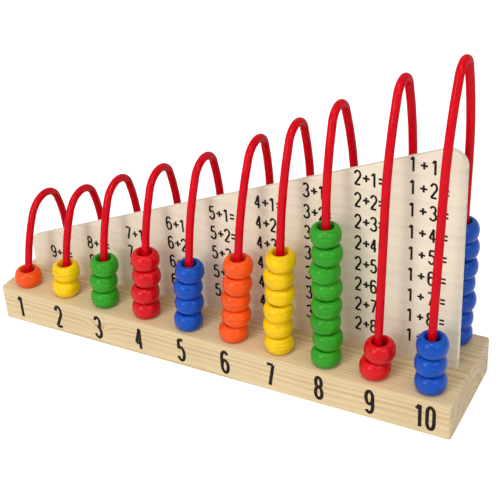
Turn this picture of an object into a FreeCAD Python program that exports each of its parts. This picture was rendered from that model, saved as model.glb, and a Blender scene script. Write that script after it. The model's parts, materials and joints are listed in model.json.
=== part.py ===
"""Wooden addition abacus: ten bent wire hoops over a sloped number board, on a solid base.

Millimetres, +Z up, +X along the base towards the tall hoops, +Y to the back.
The origin is the middle of the base's underside.
"""
import FreeCAD
import Part

import math
import os

# Base block
BASE_LENGTH = 300.0
BASE_DEPTH = 68.0
BASE_HEIGHT = 23.4
BASE_CORNER_RADIUS = 2.0
BASE_EDGE_ROUND = 0.8

# Row of hoops
ROW_LEFT_INSET = 14.125  # from the base's end to the first hoop
ROW_RIGHT_INSET = 18.125  # from the last hoop to the base's other end
FOOT_SPACING = 48.0  # between the two feet of one hoop, at the base's top
WIRE_DIAMETER = 4.7
FOOT_DEPTH = 12.0  # how deep each foot stands in the base
FOOT_CLEARANCE = 0.1  # round the foot in its hole
HOOP_RISES = [54.7, 63.2, 76.0, 89.3, 102.7, 120.3, 134.1, 148.6, 168.5, 182.5]
HOOP_LEANS = [5.0, 4.3, 3.1, 2.9, 3.3, 4.4, 2.3, -0.3, 1.4, 1.5]  # degrees towards +X
HOOP_STRAYS = {3: -0.6, 6: 1.4, 8: 0.9, 9: 1.2, 10: 1.4}  # of holes bored off the even pitch
TOE_IN = 3.9  # how far a straight leg has leaned inwards at its shoulder
LOW_LEG_SHARE = 0.43  # share of the rise that is straight leg, on the lowest hoop
HIGH_LEG_SHARE = 0.65  # and on the highest
LOW_CROWN_RADIUS = 14.5  # of the arc over the top, on the lowest hoop
HIGH_CROWN_RADIUS = 8.0  # and on the highest

# Number board
BOARD_THICKNESS = 4.0
BOARD_LEFT_INSET = 4.3  # from the base's end to the board's end
BOARD_RIGHT_INSET = 7.8
BOARD_LEFT_HEIGHT = 21.0  # above the base's top
BOARD_RIGHT_HEIGHT = 138.8
BOARD_LEFT_RADIUS = 5.0
BOARD_RIGHT_RADIUS = 9.0
BOARD_EDGE_ROUND = 0.5
BOARD_TENON = 8.0  # how deep the board stands in its groove
GROOVE_CLEARANCE = 0.1

# Beads
BEAD_DIAMETER = 17.4
BEAD_LENGTH = 10.9
LARGE_BEAD_DIAMETER = 17.9
LARGE_BEAD_LENGTH = 11.7
LARGE_BEAD_HOOPS = (9, 10)
BEAD_BORE = 8.0
BEAD_MIN_CLEARANCE = 0.25  # between wire and bore, however a bead has settled

# Beads on the front and on the rear leg of each hoop, lowest hoop first
FRONT_STACKS = [1, 2, 3, 4, 4, 5, 6, 8, 2, 3]
REAR_STACKS = [0, 0, 0, 0, 1, 1, 1, 0, 7, 7]

# How the loose beads have settled
SETTLE_SHARE = 0.55  # share of its play that each bead has used
SETTLE_TURN = 2.4  # radians from the way one bead has slid to the way the next has
PUSHED_BEADS = {  # hoop, side and level of a bead pushed along the row, and the share it used
    (6, "front", 1): -1.0,
    (9, "front", 1): -1.0,
    (9, "front", 2): 1.0,
    (10, "front", 1): 0.9,
    (10, "front", 2): 0.2,
}

SIDES = {"front": -1, "rear": 1}
HOOP_GROUPS = {"low_hoops": (1, 2, 3), "middle_hoops": (4, 5, 6, 7), "high_hoops": (8, 9, 10)}


class HoopShape:
    """Centre line of one hoop, in its own plane: y across the base, z up from the base's top.

    Each leg is straight and leans in to its shoulder, a side arc follows it, and one crown
    arc joins the two side arcs. The plane itself leans along the row.
    """

    def __init__(self, number):
        grown = (number - 1) / (len(HOOP_RISES) - 1)
        share = LOW_LEG_SHARE + (HIGH_LEG_SHARE - LOW_LEG_SHARE) * grown
        crown = LOW_CROWN_RADIUS + (HIGH_CROWN_RADIUS - LOW_CROWN_RADIUS) * grown
        self.number = number
        self.rise = HOOP_RISES[number - 1]
        pitch = (BASE_LENGTH - ROW_LEFT_INSET - ROW_RIGHT_INSET) / (len(HOOP_RISES) - 1)
        self.x = -BASE_LENGTH / 2 + ROW_LEFT_INSET + (number - 1) * pitch
        self.x += HOOP_STRAYS.get(number, 0.0)
        self.lean = math.radians(HOOP_LEANS[number - 1])
        large = number in LARGE_BEAD_HOOPS
        self.bead_diameter = LARGE_BEAD_DIAMETER if large else BEAD_DIAMETER
        self.bead_length = LARGE_BEAD_LENGTH if large else BEAD_LENGTH
        self.foot_y = FOOT_SPACING / 2
        self.shoulder_y = self.foot_y - TOE_IN
        self.shoulder_z = share * self.rise
        self.toe = math.atan2(TOE_IN, self.shoulder_z)
        # The side arc is tangent to the leg at the shoulder and to the crown arc
        drop = self.rise - crown - self.shoulder_z
        reach = self.shoulder_y * math.cos(self.toe) - drop * math.sin(self.toe)
        spread = self.shoulder_y**2 + drop**2 - crown**2
        self.side_radius = spread / (2 * (reach - crown))
        self.side_y = self.shoulder_y - self.side_radius * math.cos(self.toe)
        self.side_z = self.shoulder_z - self.side_radius * math.sin(self.toe)
        self.join_angle = math.atan2(self.rise - crown - self.side_z, -self.side_y)

    def place(self, y, z):
        """A point of the hoop's plane, in the part's own frame."""
        along = self.x + z * math.sin(self.lean)
        return FreeCAD.Vector(along, y, BASE_HEIGHT + z * math.cos(self.lean))

    def arc_point(self, angle):
        """The y and z of a point on the rear side arc."""
        y = self.side_y + self.side_radius * math.cos(angle)
        return y, self.side_z + self.side_radius * math.sin(angle)

    def buried(self, depth):
        """The y and z of the point that far down the rear leg's line, below the base's top."""
        return self.foot_y + depth * math.sin(self.toe), -depth * math.cos(self.toe)

    def leg_direction(self, side):
        """Unit vector up the straight leg."""
        bottom = self.place(side * self.foot_y, 0)
        return (self.place(side * self.shoulder_y, self.shoulder_z) - bottom).normalize()

    def leg_at(self, side, height):
        """The centre of the wire at a height above the base's top, below the crown arc."""
        z = height / math.cos(self.lean)
        if z <= self.shoulder_z:
            y = self.foot_y - TOE_IN * z / self.shoulder_z
        else:
            y = self.side_y + math.sqrt(self.side_radius**2 - (z - self.side_z) ** 2)
        return self.place(side * y, z)

    def edges(self):
        """The centre line from the front foot's end, over the crown, to the rear foot's end."""
        line = [
            self.buried(FOOT_DEPTH),
            (self.shoulder_y, self.shoulder_z),
            self.arc_point((self.toe + self.join_angle) / 2),
            self.arc_point(self.join_angle),
        ]
        foot, shoulder, side, join = (self.place(-y, z) for y, z in line)
        rear_foot, rear_shoulder, rear_side, rear_join = (self.place(y, z) for y, z in line)
        return [
            Part.LineSegment(foot, shoulder).toShape(),
            Part.Arc(shoulder, side, join).toShape(),
            Part.Arc(join, self.place(0, self.rise), rear_join).toShape(),
            Part.Arc(rear_join, rear_side, rear_shoulder).toShape(),
            Part.LineSegment(rear_shoulder, rear_foot).toShape(),
        ]


HOOPS = [HoopShape(number) for number in range(1, len(HOOP_RISES) + 1)]


def vertical_edges(solid):
    return [e for e in solid.Edges if abs(e.tangentAt(e.FirstParameter).z) > 0.99]


def make_base():
    """The base block with its rounded corners, the board's groove and twenty blind holes."""
    corner = FreeCAD.Vector(-BASE_LENGTH / 2, -BASE_DEPTH / 2, 0)
    block = Part.makeBox(BASE_LENGTH, BASE_DEPTH, BASE_HEIGHT, corner)
    block = block.makeFillet(BASE_CORNER_RADIUS, vertical_edges(block))
    rims = [e for e in block.Edges if e.BoundBox.ZLength < 0.01]
    block = block.makeFillet(BASE_EDGE_ROUND, rims)
    cutters = [groove_cutter()]
    for shape in HOOPS:
        cutters += [foot_hole(shape, side) for side in SIDES.values()]
    return block.cut(Part.makeCompound(cutters))


def groove_cutter():
    """The board's groove, which stops short of both ends of the base."""
    start = -BASE_LENGTH / 2 + BOARD_LEFT_INSET - GROOVE_CLEARANCE
    end = BASE_LENGTH / 2 - BOARD_RIGHT_INSET + GROOVE_CLEARANCE
    width = BOARD_THICKNESS + 2 * GROOVE_CLEARANCE
    corner = FreeCAD.Vector(start, -width / 2, BASE_HEIGHT - BOARD_TENON)
    return Part.makeBox(end - start, width, 2 * BOARD_TENON, corner)


def foot_hole(shape, side):
    """A blind hole along a leg's own line, with its floor at the foot's end."""
    y, z = shape.buried(FOOT_DEPTH)
    radius = WIRE_DIAMETER / 2 + FOOT_CLEARANCE
    floor = shape.place(side * y, z)
    return Part.makeCylinder(radius, 2 * FOOT_DEPTH, floor, shape.leg_direction(side))


def make_board():
    """The upright board: a sloped top between two rounded corners, and a tenon below."""
    left = -BASE_LENGTH / 2 + BOARD_LEFT_INSET
    right = BASE_LENGTH / 2 - BOARD_RIGHT_INSET
    bottom = BASE_HEIGHT - BOARD_TENON
    outline = [
        (left, bottom),
        (right, bottom),
        (right, BASE_HEIGHT + BOARD_RIGHT_HEIGHT),
        (left, BASE_HEIGHT + BOARD_LEFT_HEIGHT),
    ]
    points = [FreeCAD.Vector(x, -BOARD_THICKNESS / 2, z) for x, z in outline]
    face = Part.Face(Part.makePolygon(points + points[:1]))
    board = face.extrude(FreeCAD.Vector(0, BOARD_THICKNESS, 0))
    for corner, radius in ((points[2], BOARD_RIGHT_RADIUS), (points[3], BOARD_LEFT_RADIUS)):
        board = board.makeFillet(radius, [edge_through(board, corner)])
    rims = [e for e in board.Edges if e.BoundBox.YLength < 0.01 and e.BoundBox.ZMax > BASE_HEIGHT]
    return board.makeFillet(BOARD_EDGE_ROUND, rims)


def edge_through(solid, point):
    """The edge across the board's thickness that starts or ends at a point."""
    for edge in solid.Edges:
        if edge.BoundBox.YLength > BOARD_THICKNESS / 2:
            if any(v.Point.distanceToPoint(point) < 0.01 for v in edge.Vertexes):
                return edge
    raise ValueError("no edge at the corner")


def make_hoop(shape):
    """One round wire bent to the hoop's centre line, with cut feet."""
    edges = shape.edges()
    y, z = shape.buried(FOOT_DEPTH)
    direction = shape.leg_direction(SIDES["front"])
    rim = Part.makeCircle(WIRE_DIAMETER / 2, shape.place(-y, z), direction)
    return Part.Wire(edges).makePipeShell([Part.Wire(rim)], True, True)


def make_bead(diameter, length):
    """A bead standing on the origin: a ball turned flat at both ends and bored through."""
    ball = Part.makeSphere(diameter / 2, FreeCAD.Vector(0, 0, length / 2))
    bead = ball.common(Part.makeCylinder(diameter, length))
    return bead.cut(Part.makeCylinder(BEAD_BORE / 2, length))


def bead_place(shape, side_name, level, count):
    """Where a bead stands: level in its stack, round its leg, and settled within its play."""
    side = SIDES[side_name]
    low = shape.leg_at(side, (level - 1) * shape.bead_length)
    high = shape.leg_at(side, level * shape.bead_length)
    drift = math.hypot(high.x - low.x, high.y - low.y)
    wire_radius = WIRE_DIAMETER / 2 * math.hypot(1, drift / shape.bead_length)
    play = max(0.0, BEAD_BORE / 2 - wire_radius - drift / 2 - BEAD_MIN_CLEARANCE)
    pushed = PUSHED_BEADS.get((shape.number, side_name, level))
    if pushed is None:
        turn = SETTLE_TURN * count
        across = FreeCAD.Vector(math.cos(turn), math.sin(turn), 0) * (play * SETTLE_SHARE)
    else:
        across = FreeCAD.Vector(play * pushed, 0, 0)
    middle = (low + high) * 0.5 + across
    return FreeCAD.Vector(middle.x, middle.y, low.z)


def bead_places():
    """Each bead's hoop and place, by name: hoop by hoop, front stack before rear, upwards."""
    places = {}
    for shape in HOOPS:
        for side_name, stacks in (("front", FRONT_STACKS), ("rear", REAR_STACKS)):
            for level in range(1, stacks[shape.number - 1] + 1):
                name = f"bead_{shape.number:02d}_{side_name}_{level}"
                places[name] = (shape, bead_place(shape, side_name, level, len(places)))
    return places


def build():
    """Every node of the abacus, by name."""
    nodes = {"base_block": make_base(), "number_board": make_board()}
    for name, numbers in HOOP_GROUPS.items():
        nodes[name] = Part.makeCompound([make_hoop(HOOPS[n - 1]) for n in numbers])
    for name, (shape, place) in bead_places().items():
        nodes[name] = make_bead(shape.bead_diameter, shape.bead_length).translated(place)
    return nodes


os.makedirs("parts", exist_ok=True)
for node_name, node_shape in build().items():
    node_shape.exportStep(f"parts/{node_name}.step")
    print(f"{node_name}: {len(node_shape.Solids)} solids, {node_shape.Volume:.0f} mm3")
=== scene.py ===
"""Looks of a wooden addition abacus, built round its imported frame.

Metres, +Z up, +X along the base towards the tall hoops, +Y to the back, as in the frame.
"""

import json
import logging
import math
from collections.abc import Sequence
from dataclasses import dataclass, field
from enum import Enum

import bpy
from mathutils import Matrix, Vector


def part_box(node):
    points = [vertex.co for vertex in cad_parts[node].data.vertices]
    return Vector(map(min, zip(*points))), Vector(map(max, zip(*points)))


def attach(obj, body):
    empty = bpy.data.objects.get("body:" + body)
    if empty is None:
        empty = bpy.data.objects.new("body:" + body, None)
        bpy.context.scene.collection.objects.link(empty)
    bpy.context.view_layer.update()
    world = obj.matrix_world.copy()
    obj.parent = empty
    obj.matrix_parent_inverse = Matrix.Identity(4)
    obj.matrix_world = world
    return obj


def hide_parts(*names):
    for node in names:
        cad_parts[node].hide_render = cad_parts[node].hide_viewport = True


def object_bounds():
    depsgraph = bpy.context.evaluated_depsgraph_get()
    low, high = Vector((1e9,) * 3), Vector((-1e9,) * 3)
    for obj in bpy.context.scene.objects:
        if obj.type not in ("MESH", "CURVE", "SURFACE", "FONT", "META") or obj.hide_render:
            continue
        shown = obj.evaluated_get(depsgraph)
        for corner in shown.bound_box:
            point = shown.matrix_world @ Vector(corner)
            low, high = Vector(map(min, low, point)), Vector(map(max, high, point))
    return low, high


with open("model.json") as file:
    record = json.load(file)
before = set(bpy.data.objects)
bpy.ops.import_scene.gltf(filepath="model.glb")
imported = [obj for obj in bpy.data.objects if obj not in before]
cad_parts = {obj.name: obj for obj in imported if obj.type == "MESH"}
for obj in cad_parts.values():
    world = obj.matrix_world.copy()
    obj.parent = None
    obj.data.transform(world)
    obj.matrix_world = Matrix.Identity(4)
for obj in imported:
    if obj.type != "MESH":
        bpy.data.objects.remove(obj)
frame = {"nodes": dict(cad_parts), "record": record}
CAD_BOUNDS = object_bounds()

LOG = logging.getLogger("abacus")
MM = 0.001
STAND = "stand"
CLOSED_GAP = 1e-7  # between the two ends of a chain that counts as closed
SEAM_GAP = 1e-6  # under which a bead's seam points become one
BOW_STEP = 15  # degrees between two points of a lettering curve
MIX_SHARE, MIX_FIRST, MIX_SECOND, MIX_COLOUR = 0, 6, 7, 2  # a colour Mix node's sockets

Socket = bpy.types.NodeSocket
Value = float | Sequence[float] | Socket
Point = tuple[float, float]
Path = list[Point]


def linear(red: int, green: int, blue: int) -> tuple[float, float, float, float]:
    """Turns an 8-bit screen colour into the linear colour that shaders take.

    Args:
        red: Red, 0 to 255.
        green: Green, 0 to 255.
        blue: Blue, 0 to 255.

    Returns:
        Linear red, green and blue, and an alpha of 1.
    """

    def channel(value: int) -> float:
        """One channel, by the standard screen curve.

        Args:
            value: The screen value, 0 to 255.

        Returns:
            The linear value.
        """
        share = value / 255
        if share <= 0.04045:
            return share / 12.92
        return ((share + 0.055) / 1.055) ** 2.4

    return channel(red), channel(green), channel(blue), 1.0


class Graph:
    """A node tree being written, with short calls that add and feed its nodes."""

    def __init__(self, tree: bpy.types.NodeTree) -> None:
        """Starts writing a tree.

        Args:
            tree: The tree of a material or a node group.
        """
        self.tree = tree

    def feed(self, socket: Socket, value: Value) -> None:
        """Links a socket into an input, or sets the input to a constant.

        Args:
            socket: The input.
            value: What it takes.
        """
        if isinstance(value, Socket):
            self.tree.links.new(value, socket)
        else:
            socket.default_value = value

    def add(self, kind: str, inputs: dict[str | int, Value], **settings: object) -> bpy.types.Node:
        """Adds a node.

        Args:
            kind: The node's type name.
            inputs: Constants or sockets, by input name or index.
            **settings: Properties of the node itself.

        Returns:
            The new node.
        """
        node = self.tree.nodes.new(kind)
        for name, value in settings.items():
            setattr(node, name, value)
        for name, value in inputs.items():
            self.feed(node.inputs[name], value)
        return node

    def math(self, operation: str, *values: Value, clamp: bool = False) -> Socket:
        """Adds a scalar sum in the shader or geometry tree and returns its result."""
        inputs = dict(enumerate(values))
        return self.add("ShaderNodeMath", inputs, operation=operation, use_clamp=clamp).outputs[0]

    def vector(self, operation: str, *values: Value) -> Socket:
        """Adds a vector sum and returns its vector result."""
        inputs = dict(enumerate(values))
        return self.add("ShaderNodeVectorMath", inputs, operation=operation).outputs[0]

    def blend(self, share: Value, first: Value, second: Value, how: str = "MIX") -> Socket:
        """Mixes two colours.

        Args:
            share: How much of the second colour shows.
            first: The first colour.
            second: The second colour.
            how: The blend type.

        Returns:
            The mixed colour.
        """
        node = self.add("ShaderNodeMix", {}, data_type="RGBA", blend_type=how)
        self.feed(node.inputs[MIX_SHARE], share)
        self.feed(node.inputs[MIX_FIRST], first)
        self.feed(node.inputs[MIX_SECOND], second)
        return node.outputs[MIX_COLOUR]

    def remap(self, value: Value, low: float, high: float, to_low: float, to_high: float) -> Socket:
        """Maps a value from one range to another, clamped at both ends."""
        inputs = {0: value, 1: low, 2: high, 3: to_low, 4: to_high}
        return self.add("ShaderNodeMapRange", inputs).outputs[0]

    def noise(self, position: Value, scale: float, detail: float = 2.0) -> Socket:
        """Adds a noise texture and returns its value, about 0.5 on average."""
        inputs = {"Vector": position, "Scale": scale, "Detail": detail}
        return self.add("ShaderNodeTexNoise", inputs).outputs[0]


@dataclass(frozen=True)
class Port:
    """One named socket of a node group."""

    name: str
    kind: str = "NodeSocketFloat"
    default: float | tuple[float, ...] | None = None


def new_group(name: str, kind: str, takes: Sequence[Port], gives: Sequence[Port]) -> Graph:
    """Makes an empty node group with named inputs and outputs.

    Args:
        name: The group's name.
        kind: "ShaderNodeTree" or "GeometryNodeTree".
        takes: Its inputs.
        gives: Its outputs.

    Returns:
        A graph of the new group.
    """
    tree = bpy.data.node_groups.new(name, kind)
    for direction, ports in (("INPUT", takes), ("OUTPUT", gives)):
        for port in ports:
            socket = tree.interface.new_socket(port.name, in_out=direction, socket_type=port.kind)
            if port.default is not None:
                socket.default_value = port.default
    return Graph(tree)


# Shader groups ------------------------------------------------------------------------------


class ShaderKit:
    """The effects that several finishes share, each a shader group built once."""

    SWAY_STRETCH = (0.25, 1.0, 1.0)
    SWAY_SCALE = 28.0
    WOBBLE_STRETCH = (7.0, 60.0, 60.0)
    WOBBLE_RINGS = 0.8  # how far the wobble moves a ring, in rings
    KNOT_STRETCH = (0.5, 1.0, 1.0)
    KNOT_RINGS = 1.6  # how far rings swerve round the knot, in rings
    LATE_SHARPNESS = 1.8  # how suddenly a year's wood darkens towards its end
    YEAR_STEP = 0.73  # noise between one year's strength and the next's
    FIBRE_STRETCH = (60.0, 2600.0, 2600.0)

    def __init__(self) -> None:
        """Builds every group."""
        self.grain = self._wood_grain()
        self.unevenness = self._unevenness()
        self.edges = self._eased_edges()

    def _wood_grain(self) -> bpy.types.NodeTree:
        """Growth rings round a pith line along X, fine fibres along it, and one small knot.

        Returns:
            The group.
        """
        takes = [
            Port("Position", "NodeSocketVector"),
            Port("Pith", "NodeSocketVector"),
            Port("Ring Spacing", default=0.002),
            Port("Waviness", default=0.002),
            Port("Knot", "NodeSocketVector"),
            Port("Knot Size", default=0.002),
        ]
        gives = [Port("Late Wood"), Port("Fibre"), Port("Knot"), Port("Height")]
        graph = new_group("Wood grain", "ShaderNodeTree", takes, gives)
        source = graph.add("NodeGroupInput", {})
        place = graph.vector("SUBTRACT", source.outputs["Position"], source.outputs["Pith"])
        to_knot = graph.vector("SUBTRACT", source.outputs["Position"], source.outputs["Knot"])
        squeezed = graph.vector("MULTIPLY", to_knot, self.KNOT_STRETCH)
        away = graph.add("ShaderNodeVectorMath", {0: squeezed}, operation="LENGTH").outputs["Value"]
        away = graph.math("DIVIDE", away, source.outputs["Knot Size"])
        swirl = graph.math("EXPONENT", graph.math("MULTIPLY", graph.math("POWER", away, 2.0), -0.25))
        knot = graph.remap(away, 0.35, 1.0, 1.0, 0.0)
        along = graph.vector("MULTIPLY", place, self.SWAY_STRETCH)
        sway = graph.add("ShaderNodeTexNoise", {"Vector": along, "Scale": self.SWAY_SCALE, "Detail": 1.0})
        centred = graph.vector("SUBTRACT", sway.outputs["Color"], (0.5, 0.5, 0.5))
        push = graph.add("ShaderNodeVectorMath", {0: centred}, operation="SCALE")
        graph.feed(push.inputs["Scale"], source.outputs["Waviness"])
        across = graph.vector("MULTIPLY", graph.vector("ADD", place, push.outputs[0]), (0, 1, 1))
        distance = graph.add("ShaderNodeVectorMath", {0: across}, operation="LENGTH")
        count = graph.math("DIVIDE", distance.outputs["Value"], source.outputs["Ring Spacing"])
        wobble = graph.noise(graph.vector("MULTIPLY", place, self.WOBBLE_STRETCH), 1.0)
        count = graph.math("MULTIPLY_ADD", wobble, self.WOBBLE_RINGS, count)
        count = graph.math("MULTIPLY_ADD", swirl, self.KNOT_RINGS, count)
        phase = graph.math("FRACT", count)
        late = graph.math("POWER", phase, self.LATE_SHARPNESS)
        closing = graph.remap(phase, 0.85, 1.0, 1.0, 0.0)
        ring = graph.math("MULTIPLY", graph.math("FLOOR", count), self.YEAR_STEP)
        year = graph.noise(graph.add("ShaderNodeCombineXYZ", {0: ring}).outputs[0], 1.0, 1.0)
        strength = graph.remap(year, 0.38, 0.62, 0.25, 1.0)
        late = graph.math("MULTIPLY", graph.math("MULTIPLY", late, closing), strength)
        fibre = graph.noise(graph.vector("MULTIPLY", place, self.FIBRE_STRETCH), 1.0, 3.0)
        height = graph.math("MULTIPLY_ADD", late, 0.6, fibre)
        results = {"Late Wood": late, "Fibre": fibre, "Knot": knot, "Height": height}
        graph.add("NodeGroupOutput", results)
        return graph.tree

    def _unevenness(self) -> bpy.types.NodeTree:
        """Slow and quick unevenness of a coat, as values centred on 0.5.

        Returns:
            The group.
        """
        takes = [Port("Position", "NodeSocketVector"), Port("Size", default=0.01)]
        gives = [Port("Slow"), Port("Quick")]
        graph = new_group("Coat unevenness", "ShaderNodeTree", takes, gives)
        source = graph.add("NodeGroupInput", {})
        rate = graph.math("DIVIDE", 1.0, source.outputs["Size"])
        slow = graph.add("ShaderNodeTexNoise", {"Scale": rate, "Detail": 1.0})
        quick = graph.add("ShaderNodeTexNoise", {"Detail": 3.0})
        graph.feed(quick.inputs["Scale"], graph.math("MULTIPLY", rate, 9.0))
        for node in (slow, quick):
            graph.feed(node.inputs["Vector"], source.outputs["Position"])
        graph.add("NodeGroupOutput", {"Slow": slow.outputs[0], "Quick": quick.outputs[0]})
        return graph.tree

    def _eased_edges(self) -> bpy.types.NodeTree:
        """A mask that is 1 along sharp edges, and the normal softened over them.

        Returns:
            The group.
        """
        takes = [Port("Radius", default=0.0008)]
        gives = [Port("Edge"), Port("Normal", "NodeSocketVector")]
        graph = new_group("Eased edges", "ShaderNodeTree", takes, gives)
        source = graph.add("NodeGroupInput", {})
        bevel = graph.add("ShaderNodeBevel", {"Radius": source.outputs["Radius"]}, samples=6)
        facing = graph.add("ShaderNodeNewGeometry", {})
        same = graph.add("ShaderNodeVectorMath", {0: bevel.outputs[0]}, operation="DOT_PRODUCT")
        graph.feed(same.inputs[1], facing.outputs["Normal"])
        edge = graph.remap(same.outputs["Value"], 0.72, 0.995, 1.0, 0.0)
        graph.add("NodeGroupOutput", {"Edge": edge, "Normal": bevel.outputs[0]})
        return graph.tree


def new_material(name: str) -> tuple[bpy.types.Material, Graph, bpy.types.Node, Socket]:
    """Makes a material with one Principled shader.

    Args:
        name: The material's name.

    Returns:
        The material, its graph, its shader and the object coordinates' socket.
    """
    material = bpy.data.materials.new(name)
    material.use_nodes = True
    graph = Graph(material.node_tree)
    shader = material.node_tree.nodes["Principled BSDF"]
    position = graph.add("ShaderNodeTexCoord", {}).outputs["Object"]
    return material, graph, shader, position


def use_group(graph: Graph, group: bpy.types.NodeTree, inputs: dict[str, Value]) -> bpy.types.Node:
    """Places a shader group in a material with its own values.

    Args:
        graph: The material's graph.
        group: The shader group.
        inputs: Its values, by input name.

    Returns:
        The group's node.
    """
    node = graph.add("ShaderNodeGroup", {}, node_tree=group)
    for name, value in inputs.items():
        graph.feed(node.inputs[name], value)
    return node


# Finishes -----------------------------------------------------------------------------------


class Paint(Enum):
    """The bead colours, by the record's slots."""

    ORANGE = "bead_orange"
    YELLOW = "bead_yellow"
    GREEN = "bead_green"
    RED = "bead_red"
    BLUE = "bead_blue"


PAINT_COLOURS = {
    Paint.ORANGE: linear(244, 84, 16),
    Paint.YELLOW: linear(245, 197, 1),
    Paint.GREEN: linear(43, 152, 25),
    Paint.RED: linear(214, 6, 20),
    Paint.BLUE: linear(5, 76, 180),
}


@dataclass(frozen=True)
class WoodFinish:
    """Bare or thinly varnished wood with its grain along X."""

    name: str
    early: tuple[float, ...]
    late: tuple[float, ...]
    pith: tuple[float, float, float]
    ring_spacing: float
    waviness: float
    knot: tuple[float, float, float]
    knot_size: float
    ring_strength: float
    fibre_strength: float
    end_darkening: float
    roughness: float
    coat: float
    edge_radius: float
    knot_colour: tuple[float, ...] = linear(140, 92, 50)
    end_late: tuple[float, ...] = linear(134, 94, 60)
    end_contrast: float = 1.5
    end_offset: float = -0.06
    patch_size: float = 35.0 * MM
    knot_strength: float = 0.7
    edge_wear: float = 0.35
    roughness_spread: float = 0.06
    specular: float = 0.2
    coat_roughness: float = 0.35
    bump_strength: float = 0.12
    bump_distance: float = 0.2 * MM

    def material(self, kit: ShaderKit) -> bpy.types.Material:
        """Builds the finish.

        Args:
            kit: The shared shader groups.

        Returns:
            The material.
        """
        material, graph, shader, position = new_material(self.name)
        values = {
            "Position": position,
            "Pith": self.pith,
            "Ring Spacing": self.ring_spacing,
            "Waviness": self.waviness,
            "Knot": self.knot,
            "Knot Size": self.knot_size,
        }
        grain = use_group(graph, kit.grain, values)
        uneven = use_group(graph, kit.unevenness, {"Position": position, "Size": self.patch_size})
        edges = use_group(graph, kit.edges, {"Radius": self.edge_radius})
        rings = graph.math("MULTIPLY", grain.outputs["Late Wood"], self.ring_strength)
        colour = graph.blend(rings, self.early, self.late)
        knot = graph.math("MULTIPLY", grain.outputs["Knot"], self.knot_strength)
        colour = graph.blend(knot, colour, self.knot_colour)
        fibres = graph.remap(grain.outputs["Fibre"], 0.3, 0.75, 1.0 - self.fibre_strength, 1.0)
        colour = graph.blend(1.0, colour, self._grey(graph, fibres), "MULTIPLY")
        patches = graph.remap(uneven.outputs["Slow"], 0.25, 0.75, 0.93, 1.03)
        colour = graph.blend(1.0, colour, self._grey(graph, patches), "MULTIPLY")
        facing = graph.add("ShaderNodeNewGeometry", {}).outputs["Normal"]
        sideways = graph.add("ShaderNodeSeparateXYZ", {0: facing}).outputs[0]
        on_end = graph.remap(graph.math("ABSOLUTE", sideways), 0.6, 0.95, 0.0, self.end_darkening)
        late = grain.outputs["Late Wood"]
        cut_rings = graph.math("MULTIPLY_ADD", late, self.end_contrast, self.end_offset)
        shown = graph.math("MULTIPLY", on_end, cut_rings, clamp=True)
        colour = graph.blend(shown, colour, self.end_late)
        worn = graph.math("MULTIPLY", edges.outputs["Edge"], self.edge_wear)
        colour = graph.blend(worn, colour, self.early)
        graph.feed(shader.inputs["Base Color"], colour)
        low, high = self.roughness - self.roughness_spread, self.roughness + self.roughness_spread
        rough = graph.remap(uneven.outputs["Quick"], 0.3, 0.7, low, high)
        graph.feed(shader.inputs["Roughness"], rough)
        shader.inputs["Specular IOR Level"].default_value = self.specular
        shader.inputs["Coat Weight"].default_value = self.coat
        shader.inputs["Coat Roughness"].default_value = self.coat_roughness
        bump = graph.add("ShaderNodeBump", {"Height": grain.outputs["Height"]})
        bump.inputs["Strength"].default_value = self.bump_strength
        bump.inputs["Distance"].default_value = self.bump_distance
        graph.feed(bump.inputs["Normal"], edges.outputs["Normal"])
        graph.feed(shader.inputs["Normal"], bump.outputs[0])
        return material

    @staticmethod
    def _grey(graph: Graph, value: Socket) -> Socket:
        """A grey colour of one value."""
        return graph.add("ShaderNodeCombineColor", {0: value, 1: value, 2: value}).outputs[0]


@dataclass(frozen=True)
class GlossFinish:
    """A dipped or sprayed gloss coat of one colour, with a little unevenness."""

    name: str
    colour: tuple[float, ...]
    roughness: float
    coat: float
    ripple: float
    ripple_size: float
    specular: float = 0.12
    coat_roughness: float = 0.12
    show_through: float = 0.0
    streak_stretch: tuple[float, float, float] = (90.0, 90.0, 1100.0)
    streak_shade: float = 0.55
    bump_distance: float = 0.3 * MM

    def material(self, kit: ShaderKit) -> bpy.types.Material:
        """Builds the finish.

        Args:
            kit: The shared shader groups.

        Returns:
            The material.
        """
        material, graph, shader, position = new_material(self.name)
        values = {"Position": position, "Size": self.ripple_size}
        uneven = use_group(graph, kit.unevenness, values)
        shade = graph.remap(uneven.outputs["Slow"], 0.25, 0.75, 0.88, 1.06)
        grey = graph.add("ShaderNodeCombineColor", {0: shade, 1: shade, 2: shade}).outputs[0]
        colour = graph.blend(1.0, self.colour, grey, "MULTIPLY")
        if self.show_through > 0:
            streaks = graph.noise(graph.vector("MULTIPLY", position, self.streak_stretch), 1.0, 3.0)
            thin = graph.remap(streaks, 0.48, 0.68, 0.0, self.show_through)
            darker = tuple(part * self.streak_shade for part in self.colour[:3]) + (1.0,)
            colour = graph.blend(thin, colour, darker)
        graph.feed(shader.inputs["Base Color"], colour)
        low, high = self.roughness - 0.04, self.roughness + 0.05
        graph.feed(shader.inputs["Roughness"], graph.remap(uneven.outputs["Quick"], 0.3, 0.7, low, high))
        shader.inputs["Specular IOR Level"].default_value = self.specular
        shader.inputs["Coat Weight"].default_value = self.coat
        shader.inputs["Coat Roughness"].default_value = self.coat_roughness
        bump = graph.add("ShaderNodeBump", {"Height": uneven.outputs["Quick"]})
        bump.inputs["Strength"].default_value = self.ripple
        bump.inputs["Distance"].default_value = self.bump_distance
        graph.feed(shader.inputs["Normal"], bump.outputs[0])
        return material


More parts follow.
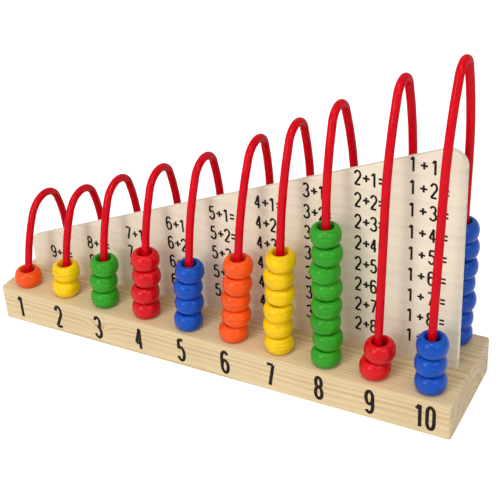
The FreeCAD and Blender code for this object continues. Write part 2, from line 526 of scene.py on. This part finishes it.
@dataclass(frozen=True)
class InkFinish:
    """Printed black ink that has sunk a little unevenly into the wood."""

    name: str
    colour: tuple[float, ...]
    patch_size: float = 4.0 * MM
    fading: float = 0.008
    specular: float = 0.1

    def material(self, kit: ShaderKit) -> bpy.types.Material:
        """Builds the finish.

        Args:
            kit: The shared shader groups.

        Returns:
            The material.
        """
        material, graph, shader, position = new_material(self.name)
        uneven = use_group(graph, kit.unevenness, {"Position": position, "Size": self.patch_size})
        faded = tuple(min(1.0, part + self.fading) for part in self.colour[:3]) + (1.0,)
        share = graph.remap(uneven.outputs["Quick"], 0.4, 0.7, 0.0, 1.0)
        graph.feed(shader.inputs["Base Color"], graph.blend(share, self.colour, faded))
        graph.feed(shader.inputs["Roughness"], graph.remap(share, 0.0, 1.0, 0.5, 0.65))
        shader.inputs["Specular IOR Level"].default_value = self.specular
        return material


# Geometry Nodes -----------------------------------------------------------------------------


class GeometryKit:
    """The Geometry Nodes trees for what repeats, and the call that turns one into a mesh."""

    def __init__(self) -> None:
        """Builds both trees."""
        self.rod = self._rod_tree()
        self.bead = self._bead_tree()

    def _rod_tree(self) -> bpy.types.NodeTree:
        """A rod along every chain of edges, which can be pressed flat onto a plane across Y.

        Returns:
            The tree.
        """
        takes = [
            Port("Geometry", "NodeSocketGeometry"),
            Port("Diameter", default=0.004),
            Port("Steps Around", "NodeSocketInt", 16),
            Port("Flat Share", default=1.0),
            Port("Plane Y", default=0.0),
            Port("Material", "NodeSocketMaterial"),
        ]
        gives = [Port("Geometry", "NodeSocketGeometry")]
        graph = new_group("Rod along edges", "GeometryNodeTree", takes, gives)
        source = graph.add("NodeGroupInput", {})
        line = graph.add("GeometryNodeMeshToCurve", {"Mesh": source.outputs["Geometry"]})
        radius = graph.math("MULTIPLY", source.outputs["Diameter"], 0.5)
        rim = {"Resolution": source.outputs["Steps Around"], "Radius": radius}
        circle = graph.add("GeometryNodeCurvePrimitiveCircle", rim)
        swept = {"Curve": line.outputs[0], "Profile Curve": circle.outputs[0], "Fill Caps": True}
        rod = graph.add("GeometryNodeCurveToMesh", swept)
        place = graph.add("GeometryNodeInputPosition", {}).outputs[0]
        parts = graph.add("ShaderNodeSeparateXYZ", {0: place})
        off = graph.math("SUBTRACT", parts.outputs[1], source.outputs["Plane Y"])
        off = graph.math("MULTIPLY", off, source.outputs["Flat Share"])
        pressed = graph.math("ADD", off, source.outputs["Plane Y"])
        where = {0: parts.outputs[0], 1: pressed, 2: parts.outputs[2]}
        moved = graph.add("ShaderNodeCombineXYZ", where).outputs[0]
        flat = graph.add("GeometryNodeSetPosition", {"Geometry": rod.outputs[0], "Position": moved})
        self._close(graph, source, flat.outputs[0])
        return graph.tree

    def _bead_tree(self) -> bpy.types.NodeTree:
        """A turned ring bead: a grid wrapped round its axis, on a squared-off oval section.

        Returns:
            The tree.
        """
        takes = [
            Port("Geometry", "NodeSocketGeometry"),
            Port("Diameter", default=0.0174),
            Port("Length", default=0.0117),
            Port("Bore", default=0.008),
            Port("Land", default=0.0106),
            Port("Squareness", default=0.94),
            Port("Centre", "NodeSocketVector"),
            Port("Steps Around", "NodeSocketInt", 48),
            Port("Steps Across", "NodeSocketInt", 28),
            Port("Material", "NodeSocketMaterial"),
        ]
        gives = [Port("Geometry", "NodeSocketGeometry")]
        graph = new_group("Turned bead", "GeometryNodeTree", takes, gives)
        source = graph.add("NodeGroupInput", {})
        sheet = graph.add("GeometryNodeMeshGrid", {"Size X": 1.0, "Size Y": 1.0})
        graph.feed(sheet.inputs["Vertices X"], source.outputs["Steps Around"])
        graph.feed(sheet.inputs["Vertices Y"], source.outputs["Steps Across"])
        place = graph.add("GeometryNodeInputPosition", {}).outputs[0]
        parts = graph.add("ShaderNodeSeparateXYZ", {0: place})
        turn = graph.math("MULTIPLY", parts.outputs[0], math.tau)
        round_section = graph.math("MULTIPLY", parts.outputs[1], math.tau)
        outward = graph.math("COSINE", round_section)
        upward = graph.math("SINE", round_section)
        land = graph.math("MULTIPLY", source.outputs["Land"], 0.5)
        outer = graph.math("SUBTRACT", graph.math("MULTIPLY", source.outputs["Diameter"], 0.5), land)
        inner = graph.math("SUBTRACT", land, graph.math("MULTIPLY", source.outputs["Bore"], 0.5))
        is_outer = graph.math("GREATER_THAN", outward, 0.0)
        swing = graph.math("SUBTRACT", outer, inner)
        reach = graph.math("MULTIPLY_ADD", is_outer, swing, inner)
        radius = graph.math("MULTIPLY_ADD", outward, reach, land)
        squared = graph.math("POWER", graph.math("ABSOLUTE", upward), source.outputs["Squareness"])
        signed = graph.math("MULTIPLY", squared, graph.math("SIGN", upward))
        half = graph.math("MULTIPLY", source.outputs["Length"], 0.5)
        height = graph.math("MULTIPLY", signed, half)
        x = graph.math("MULTIPLY", radius, graph.math("COSINE", turn))
        y = graph.math("MULTIPLY", radius, graph.math("SINE", turn))
        wrapped = graph.add("ShaderNodeCombineXYZ", {0: x, 1: y, 2: height}).outputs[0]
        centred = graph.vector("ADD", wrapped, source.outputs["Centre"])
        set_place = {"Geometry": sheet.outputs["Mesh"], "Position": centred}
        ring = graph.add("GeometryNodeSetPosition", set_place)
        near = {"Geometry": ring.outputs[0], "Distance": SEAM_GAP}
        closed = graph.add("GeometryNodeMergeByDistance", near)
        self._close(graph, source, closed.outputs[0])
        return graph.tree

    @staticmethod
    def _close(graph: Graph, source: bpy.types.Node, geometry: Socket) -> None:
        """Ends a tree with smooth faces, real instances and its material.

        Args:
            graph: The tree's graph.
            source: Its input node.
            geometry: What it has made so far.
        """
        smooth = graph.add("GeometryNodeSetShadeSmooth", {"Geometry": geometry})
        real = graph.add("GeometryNodeRealizeInstances", {"Geometry": smooth.outputs[0]})
        last = {"Geometry": real.outputs[0], "Material": source.outputs["Material"]}
        dressed = graph.add("GeometryNodeSetMaterial", last)
        graph.add("NodeGroupOutput", {"Geometry": dressed.outputs[0]})

    @staticmethod
    def run(
        tree: bpy.types.NodeTree, name: str, start: bpy.types.Mesh, values: dict[str, object]
    ) -> bpy.types.Object:
        """Runs a tree and keeps its result as a plain mesh.

        Args:
            tree: The Geometry Nodes tree.
            name: The finished object's name.
            start: The mesh that the tree starts from.
            values: Its inputs, by name.

        Returns:
            The object, linked to the scene, with no modifier.
        """
        holder = bpy.data.objects.new(name + "_source", start)
        bpy.context.scene.collection.objects.link(holder)
        modifier = holder.modifiers.new("Nodes", "NODES")
        modifier.node_group = tree
        for item in tree.interface.items_tree:
            if item.item_type == "SOCKET" and item.in_out == "INPUT" and item.name in values:
                modifier[item.identifier] = values[item.name]
        seen = bpy.context.evaluated_depsgraph_get()
        mesh = bpy.data.meshes.new_from_object(holder.evaluated_get(seen), depsgraph=seen)
        bpy.data.objects.remove(holder)
        mesh.name = name
        made = bpy.data.objects.new(name, mesh)
        bpy.context.scene.collection.objects.link(made)
        return made


def chains_mesh(name: str, chains: Sequence[Sequence[Vector]]) -> bpy.types.Mesh:
    """Makes a mesh of edge chains; a chain that ends where it starts is closed.

    Args:
        name: The mesh's name.
        chains: Points in order, one list for each chain.

    Returns:
        A mesh with edges and no faces.
    """
    points: list[Vector] = []
    edges: list[tuple[int, int]] = []
    for chain in chains:
        first = len(points)
        closed = (chain[0] - chain[-1]).length < CLOSED_GAP
        kept = chain[:-1] if closed else chain
        points.extend(kept)
        edges.extend((i, i + 1) for i in range(first, len(points) - 1))
        if closed:
            edges.append((len(points) - 1, first))
    mesh = bpy.data.meshes.new(name)
    mesh.from_pydata([tuple(point) for point in points], edges, [])
    return mesh


# Lettering ----------------------------------------------------------------------------------


def bow(x: float, y: float, wide: float, high: float, start: float, end: float) -> Path:
    """Part of an oval, as evenly spaced points.

    Args:
        x: The centre's x, in a glyph box 1 wide and 1 high.
        y: The centre's y.
        wide: Half the oval's width.
        high: Half its height.
        start: The first angle, in degrees from +x.
        end: The last angle; it is less than start when the stroke turns clockwise.

    Returns:
        The points.
    """
    steps = max(3, round(abs(end - start) / BOW_STEP))
    turns = [math.radians(start + (end - start) * i / steps) for i in range(steps + 1)]
    return [(x + wide * math.cos(turn), y + high * math.sin(turn)) for turn in turns]


def glyph_strokes() -> dict[str, list[Path]]:
    """The strokes of plain numerals and signs, in a box 1 wide and 1 high.

    Returns:
        For each sign, the centre lines of its strokes.
    """
    six = [bow(0.5, 0.3, 0.5, 0.3, 180, -180), bow(0.52, 0.7, 0.52, 0.3, 35, 180) + [(0, 0.3)]]
    upper_bowl = bow(0.46, 0.76, 0.46, 0.24, 160, -85)
    two_neck = bow(0.5, 0.72, 0.5, 0.28, 170, -30) + [(0.0, 0.0)]
    return {
        "0": [bow(0.5, 0.72, 0.5, 0.28, 180, 0) + bow(0.5, 0.28, 0.5, 0.28, 0, -180) + [(0, 0.72)]],
        "1": [[(0.12, 0.8), (0.62, 1.0)], [(0.62, 1.0), (0.62, 0.0)]],
        "2": [two_neck, [(0.0, 0.0), (1.0, 0.0)]],
        "3": [upper_bowl, bow(0.46, 0.265, 0.54, 0.265, 90, -160)],
        "4": [[(0.7, 1.0), (0.0, 0.28)], [(0.0, 0.28), (1.0, 0.28)], [(0.7, 1.0), (0.7, 0.0)]],
        "5": [[(0.92, 1.0), (0.16, 1.0)], [(0.16, 1.0), (0.1, 0.55)], bow(0.46, 0.32, 0.54, 0.32, 132, -155)],
        "6": six,
        "7": [[(0.0, 1.0), (1.0, 1.0)], [(1.0, 1.0), (0.36, 0.0)]],
        "8": [bow(0.5, 0.765, 0.43, 0.235, 180, -180), bow(0.5, 0.27, 0.5, 0.27, 180, -180)],
        "9": [[(1 - x, 1 - y) for x, y in stroke] for stroke in six],
        "+": [[(-0.02, 0.52), (1.22, 0.52)], [(0.6, 0.27), (0.6, 0.77)]],
        "=": [[(0.05, 0.66), (0.95, 0.66)], [(0.05, 0.36), (0.95, 0.36)]],
    }


@dataclass(frozen=True)
class PrintStyle:
    """Size and weight of one kind of lettering."""

    height: float
    width: float
    stroke: float
    advance: float


@dataclass
class Lettering:
    """Lettering printed on a flat face that looks along -Y."""

    name: str
    style: PrintStyle
    plane_y: float
    ink_thickness: float = 0.08 * MM
    strokes: list[list[Vector]] = field(default_factory=list)
    signs: dict[str, list[Path]] = field(default_factory=glyph_strokes)

    def write(self, text: str, first_x: float, centre_z: float, advance: float | None = None) -> None:
        """Adds one line of text.

        Args:
            text: Numerals, + and =.
            first_x: The middle of the first sign along X.
            centre_z: The middle of the line's height.
            advance: From one sign's middle to the next, if not the style's own.
        """
        step = advance or self.style.advance
        for index, sign in enumerate(text):
            middle = first_x + index * step
            for stroke in self.signs[sign]:
                self.strokes.append([self._point(at, middle, centre_z) for at in stroke])

    def _point(self, at: Point, middle: float, centre_z: float) -> Vector:
        """A glyph box's point on the printed face.

        Args:
            at: The point in the glyph box.
            middle: The sign's middle along X.
            centre_z: The middle of the line's height.

        Returns:
            The point in the frame.
        """
        style = self.style
        x = middle + (at[0] - 0.5) * (style.width - style.stroke)
        z = centre_z + (at[1] - 0.5) * (style.height - style.stroke)
        return Vector((x, self.plane_y, z))

    def build(self, kit: GeometryKit, ink: bpy.types.Material) -> bpy.types.Object:
        """Turns the lines written so far into one printed piece.

        Args:
            kit: The Geometry Nodes trees.
            ink: The ink's material.

        Returns:
            The piece.
        """
        values = {
            "Diameter": self.style.stroke,
            "Steps Around": 8,
            "Flat Share": self.ink_thickness / self.style.stroke,
            "Plane Y": self.plane_y,
            "Material": ink,
        }
        return kit.run(kit.rod, self.name, chains_mesh(self.name, self.strokes), values)


# Sub-assemblies -----------------------------------------------------------------------------


def dress(node: str, material: bpy.types.Material) -> None:
    """Gives a CAD node a better material in its own slot.

    Args:
        node: The node's name.
        material: Its finish.
    """
    slots = frame["nodes"][node].data.materials
    slots.clear()
    slots.append(material)


@dataclass
class BaseBlock:
    """The pine base block and the numbers printed on its front."""

    node: str = "base_block"
    number_style: PrintStyle = PrintStyle(17.2 * MM, 6.1 * MM, 2.15 * MM, 6.6 * MM)
    number_shift: float = -0.6 * MM
    number_strays: tuple[tuple[int, float], ...] = (
        (1, 0.4 * MM),
        (8, 0.6 * MM),
        (9, 1.5 * MM),
        (10, 3.9 * MM),
    )
    finish: WoodFinish = WoodFinish(
        name="planed_pine",
        early=linear(228, 206, 162),
        late=linear(180, 134, 84),
        pith=(0.0, 0.002, -0.005),
        ring_spacing=1.6 * MM,
        waviness=4.0 * MM,
        knot=(-0.076, -0.034, 0.0125),
        knot_size=2.0 * MM,
        ring_strength=0.9,
        fibre_strength=0.12,
        end_darkening=0.95,
        roughness=0.5,
        coat=0.04,
        edge_radius=0.8 * MM,
    )

    def build(self, row: "HoopRow", looks: ShaderKit, kit: GeometryKit, ink: bpy.types.Material) -> None:
        """Dresses the block and prints its numbers.

        Args:
            row: The hoops that the numbers stand under.
            looks: The shared shader groups.
            kit: The Geometry Nodes trees.
            ink: The ink.
        """
        dress(self.node, self.finish.material(looks))
        low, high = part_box(self.node)
        numbers = Lettering("base_numbers", self.number_style, low.y)
        strays = dict(self.number_strays)
        for number in range(1, row.count + 1):
            text = str(number)
            middle = row.even_x(number) + self.number_shift + strays.get(number, 0.0)
            first = middle - self.number_style.advance * (len(text) - 1) / 2
            numbers.write(text, first, (low.z + high.z) / 2)
        piece = numbers.build(kit, ink)
        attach(piece, STAND)
        LOG.info("%s: %d strokes", piece.name, len(numbers.strokes))


@dataclass
class NumberBoard:
    """The upright board and the sums printed on its front."""

    node: str = "number_board"
    sum_style: PrintStyle = PrintStyle(9.5 * MM, 4.35 * MM, 1.28 * MM, 4.55 * MM)
    wide_advance: float = 5.85 * MM
    narrow_equals: float = 13.2 * MM
    wide_equals: float = 18.5 * MM
    last_column: float = 113.8 * MM
    column_pitch: float = 30.35 * MM
    bottom_row: float = 15.8 * MM
    row_pitch: float = 13.4 * MM
    print_turn: float = math.radians(0.57)
    finish: WoodFinish = WoodFinish(
        name="sanded_board",
        early=linear(240, 230, 208),
        late=linear(214, 190, 156),
        pith=(0.0, 0.09, -0.4),
        ring_spacing=7.0 * MM,
        waviness=12.0 * MM,
        knot=(0.0, 1.0, 0.0),
        knot_size=1.0 * MM,
        ring_strength=0.35,
        fibre_strength=0.06,
        end_darkening=0.2,
        roughness=0.55,
        coat=0.0,
        edge_radius=0.5 * MM,
    )

    def build(self, row: "HoopRow", looks: ShaderKit, kit: GeometryKit, ink: bpy.types.Material) -> None:
        """Dresses the board and prints one column of sums for each hoop but the first.

        Args:
            row: The hoops that the columns belong to.
            looks: The shared shader groups.
            kit: The Geometry Nodes trees.
            ink: The ink.
        """
        dress(self.node, self.finish.material(looks))
        low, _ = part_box(self.node)
        sums = Lettering("board_sums", self.sum_style, low.y)
        for addend in range(1, row.count):
            from_last = (addend - 1) * self.column_pitch
            advance = self.wide_advance if addend == 1 else self.sum_style.advance
            equals = self.wide_equals if addend == 1 else self.narrow_equals
            bottom = row.base_top + self.bottom_row - from_last * math.tan(self.print_turn)
            rows = row.count - addend
            for second in range(1, rows + 1):
                height = bottom + (rows - second) * self.row_pitch
                sums.write(f"{addend}+{second}", self.last_column - from_last, height, advance)
                sums.write("=", self.last_column - from_last + equals, height)
        piece = sums.build(kit, ink)
        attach(piece, STAND)
        LOG.info("%s: %d strokes", piece.name, len(sums.strokes))


@dataclass
class HoopRow:
    """The ten bent wire hoops, rebuilt smooth along the same three-centred arches."""

    base_top: float
    pitch: float = 29.75 * MM
    first_hoop: float = -135.875 * MM
    foot_spacing: float = 48.0 * MM
    wire_diameter: float = 4.7 * MM
    foot_depth: float = 12.0 * MM
    toe_in: float = 3.9 * MM
    leg_share: tuple[float, float] = (0.43, 0.65)
    crown_radius: tuple[float, float] = (14.5 * MM, 8.0 * MM)
    rises: tuple[float, ...] = (54.7, 63.2, 76.0, 89.3, 102.7, 120.3, 134.1, 148.6, 168.5, 182.5)
    leans: tuple[float, ...] = (5.0, 4.3, 3.1, 2.9, 3.3, 4.4, 2.3, -0.3, 1.4, 1.5)
    strays: tuple[float, ...] = (0.0, 0.0, -0.6, 0.0, 0.0, 1.4, 0.0, 0.9, 1.2, 1.4)
    steps_around: int = 28
    arc_step: float = math.radians(5)
    finish: GlossFinish = GlossFinish(
        name="dipped_red_wire",
        colour=linear(206, 0, 22),
        roughness=0.3,
        coat=0.18,
        ripple=0.03,
        ripple_size=12.0 * MM,
        specular=0.0,
        coat_roughness=0.08,
    )

    @property
    def count(self) -> int:
        """The number of hoops."""
        return len(self.rises)

    def even_x(self, number: int) -> float:
        """Where a hoop would stand along the base if the row were quite even."""
        return self.first_hoop + (number - 1) * self.pitch

    def foot_x(self, number: int) -> float:
        """Where a hoop stands along the base."""
        return self.even_x(number) + self.strays[number - 1] * MM

    def half_line(self, number: int) -> Path:
        """The rear half of a hoop's centre line, from its foot to its top.

        Args:
            number: The hoop, 1 to 10.

        Returns:
            Points across and up, from the base's top.
        """
        grown = (number - 1) / (self.count - 1)
        share = self.leg_share[0] + (self.leg_share[1] - self.leg_share[0]) * grown
        crown = self.crown_radius[0] + (self.crown_radius[1] - self.crown_radius[0]) * grown
        rise = self.rises[number - 1] * MM
        shoulder = (self.foot_spacing / 2 - self.toe_in, share * rise)
        toe = math.atan2(self.toe_in, shoulder[1])
        drop = rise - crown - shoulder[1]
        reach = shoulder[0] * math.cos(toe) - drop * math.sin(toe)
        radius = (shoulder[0] ** 2 + drop**2 - crown**2) / (2 * (reach - crown))
        centre = (shoulder[0] - radius * math.cos(toe), shoulder[1] - radius * math.sin(toe))
        join = math.atan2(rise - crown - centre[1], -centre[0])
        foot = self.foot_spacing / 2 + self.foot_depth * math.sin(toe)
        line = [(foot, -self.foot_depth * math.cos(toe))]
        line += self._arc(centre, radius, toe, join)
        line += self._arc((0.0, rise - crown), crown, join, math.pi / 2)[1:]
        return line

    def _arc(self, centre: Point, radius: float, start: float, end: float) -> list[Point]:
        """Evenly spaced points of an arc, both ends included.

        Args:
            centre: The arc's centre.
            radius: Its radius.
            start: Its first angle, in radians.
            end: Its last angle, in radians.

        Returns:
            The points.
        """
        steps = max(2, math.ceil((end - start) / self.arc_step))
        turns = [start + (end - start) * i / steps for i in range(steps + 1)]
        return [(centre[0] + radius * math.cos(t), centre[1] + radius * math.sin(t)) for t in turns]

    def centre_line(self, number: int) -> list[Vector]:
        """A hoop's whole centre line, front foot to rear foot, in the frame.

        Args:
            number: The hoop, 1 to 10.

        Returns:
            Its points.
        """
        lean = math.radians(self.leans[number - 1])
        half = self.half_line(number)
        whole = [(-y, z) for y, z in half] + half[-2::-1]
        foot = self.foot_x(number)
        return [
            Vector((foot + z * math.sin(lean), y, self.base_top + z * math.cos(lean)))
            for y, z in whole
        ]

    def build(self, groups: dict[str, range], looks: ShaderKit, kit: GeometryKit) -> None:
        """Builds the hoops, one piece for each CAD node that holds some of them.

        Args:
            groups: The hoops in each CAD node.
            looks: The shared shader groups.
            kit: The Geometry Nodes trees.
        """
        red = self.finish.material(looks)
        for node, numbers in groups.items():
            name = f"dipped_{node}"
            lines = chains_mesh(name, [self.centre_line(number) for number in numbers])
            values = {
                "Diameter": self.wire_diameter,
                "Steps Around": self.steps_around,
                "Material": red,
            }
            piece = kit.run(kit.rod, name, lines, values)
            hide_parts(node)
            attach(piece, STAND)
            LOG.info("%s: %d faces", name, len(piece.data.polygons))


@dataclass
class BeadStacks:
    """All the beads, each turned in place of its CAD node and riding on its own body."""

    bore: float = 8.0 * MM
    land: float = 10.6 * MM
    roughness: float = 0.3
    coat: float = 0.16

    def build(self, looks: ShaderKit, kit: GeometryKit) -> None:
        """Builds every bead in its record's colour.

        Args:
            looks: The shared shader groups.
            kit: The Geometry Nodes trees.
        """
        paints = {
            paint: GlossFinish(
                name=f"{paint.name.lower()}_bead_paint",
                colour=colour,
                roughness=self.roughness,
                coat=self.coat,
                ripple=0.08,
                ripple_size=16.0 * MM,
                show_through=0.5,
            ).material(looks)
            for paint, colour in PAINT_COLOURS.items()
        }
        slots = {part["node"]: part["material_slot"] for part in frame["record"]["subparts"]}
        bodies = {node: body for body, nodes in self._groups().items() for node in nodes}
        made = 0
        for node in sorted(frame["nodes"]):
            if not node.startswith("bead_"):
                continue
            low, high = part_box(node)
            values = {
                "Diameter": (high.y - low.y + high.x - low.x) / 2,
                "Length": high.z - low.z,
                "Bore": self.bore,
                "Land": self.land,
                "Centre": (low + high) / 2,
                "Material": paints[Paint(slots[node])],
            }
            name = f"turned_{node}"
            piece = kit.run(kit.bead, name, bpy.data.meshes.new(name), values)
            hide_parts(node)
            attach(piece, bodies[node])
            made += 1
        LOG.info("beads: %d", made)

    @staticmethod
    def _groups() -> dict[str, list[str]]:
        """The nodes of each body, from the record."""
        return frame["record"]["behaviour"]["bodies"]


# Stage --------------------------------------------------------------------------------------


@dataclass(frozen=True)
class SoftBox:
    """A soft rectangular lamp aimed at the middle of the object."""

    name: str
    place: tuple[float, float, float]
    width: float
    height: float
    power: float


@dataclass
class Studio:
    """The pale floor, the soft lamps, the white surroundings and the camera."""

    floor_half_size: float = 4.0
    floor_level: float = 0.78
    floor_lift: float = 0.6
    floor_roughness: float = 0.9
    ambient: float = 0.48
    lamps: tuple[SoftBox, ...] = (
        SoftBox("front_softbox", (-0.45, -1.45, 0.7), 0.55, 0.9, 10.0),
        SoftBox("top_softbox", (0.1, -0.65, 1.6), 0.7, 0.7, 9.0),
        SoftBox("fill_softbox", (1.2, -0.7, 0.9), 0.6, 0.6, 4.5),
    )
    view_azimuth: float = 29.73
    view_elevation: float = 31.0
    view_roll: float = -3.98
    view_place: tuple[float, float, float] = (0.2902, -0.4983, 0.4232)
    lens: float = 82.9
    sensor_width: float = 36.0
    shift: tuple[float, float] = (0.03, -0.03)

    def build(self) -> None:
        """Builds the whole stage."""
        self._floor()
        self._world()
        self._lamps()
        self._camera()

    def _white_ray(self, graph: Graph) -> Socket:
        """1 for a ray that sees the surface straight, in gloss or through glass.

        Args:
            graph: The tree that asks.

        Returns:
            The mask.
        """
        path = graph.add("ShaderNodeLightPath", {})
        seen = graph.math("MAXIMUM", path.outputs["Is Camera Ray"], path.outputs["Is Glossy Ray"])
        return graph.math("MAXIMUM", seen, path.outputs["Is Transmission Ray"])

    def _floor(self) -> None:
        """A pale plane that keeps a soft shadow and otherwise shows as white."""
        half = self.floor_half_size
        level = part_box("base_block")[0].z
        corners = [(-half, -half, level), (half, -half, level), (half, half, level), (-half, half, level)]
        mesh = bpy.data.meshes.new("floor")
        mesh.from_pydata(corners, [], [(0, 1, 2, 3)])
        floor = bpy.data.objects.new("floor", mesh)
        bpy.context.scene.collection.objects.link(floor)
        material, graph, shader, _ = new_material("pale_floor")
        shader.inputs["Base Color"].default_value = (self.floor_level,) * 3 + (1.0,)
        shader.inputs["Roughness"].default_value = self.floor_roughness
        shader.inputs["Specular IOR Level"].default_value = 0.0
        shader.inputs["Emission Color"].default_value = (1.0, 1.0, 1.0, 1.0)
        lift = graph.math("MULTIPLY", self._white_ray(graph), self.floor_lift)
        graph.feed(shader.inputs["Emission Strength"], lift)
        mesh.materials.append(material)

    def _world(self) -> None:
        """White surroundings that light the object plainly and are seen as white."""
        world = bpy.data.worlds.new("studio")
        world.use_nodes = True
        bpy.context.scene.world = world
        graph = Graph(world.node_tree)
        background = world.node_tree.nodes["Background"]
        background.inputs["Color"].default_value = (1.0, 1.0, 1.0, 1.0)
        seen = self._white_ray(graph)
        graph.feed(background.inputs["Strength"], graph.remap(seen, 0.0, 1.0, self.ambient, 1.0))

    def _lamps(self) -> None:
        """The softboxes, each turned to the object's middle."""
        low, high = CAD_BOUNDS
        middle = (low + high) / 2
        for lamp in self.lamps:
            light = bpy.data.lights.new(lamp.name, "AREA")
            light.shape = "RECTANGLE"
            light.size = lamp.width
            light.size_y = lamp.height
            light.energy = lamp.power
            holder = bpy.data.objects.new(lamp.name, light)
            holder.location = Vector(lamp.place)
            aim = middle - holder.location
            holder.rotation_euler = aim.to_track_quat("-Z", "Y").to_euler()
            bpy.context.scene.collection.objects.link(holder)

    def _camera(self) -> None:
        """The camera, by its place, its direction and its roll."""
        data = bpy.data.cameras.new("camera")
        data.lens = self.lens
        data.sensor_width = self.sensor_width
        data.shift_x, data.shift_y = self.shift
        turn = Matrix.Rotation(math.radians(self.view_azimuth), 4, "Z")
        tilt = Matrix.Rotation(math.radians(90.0 - self.view_elevation), 4, "X")
        roll = Matrix.Rotation(math.radians(self.view_roll), 4, "Z")
        camera = bpy.data.objects.new("camera", data)
        camera.matrix_world = Matrix.Translation(self.view_place) @ turn @ tilt @ roll
        bpy.context.scene.collection.objects.link(camera)
        bpy.context.scene.camera = camera
        bpy.context.scene.view_settings.view_transform = "Standard"


def main() -> None:
    """Builds the abacus's looks and its stage, in order."""
    logging.basicConfig(level=logging.INFO, format="%(message)s")
    Studio().build()
    looks = ShaderKit()
    kit = GeometryKit()
    ink = InkFinish("black_ink", linear(20, 14, 12)).material(looks)
    row = HoopRow(base_top=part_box("base_block")[1].z)
    groups = {"low_hoops": range(1, 4), "middle_hoops": range(4, 8), "high_hoops": range(8, 11)}
    BaseBlock().build(row, looks, kit, ink)
    NumberBoard().build(row, looks, kit, ink)
    row.build(groups, looks, kit)
    BeadStacks().build(looks, kit)


if __name__ == "__main__":
    main()
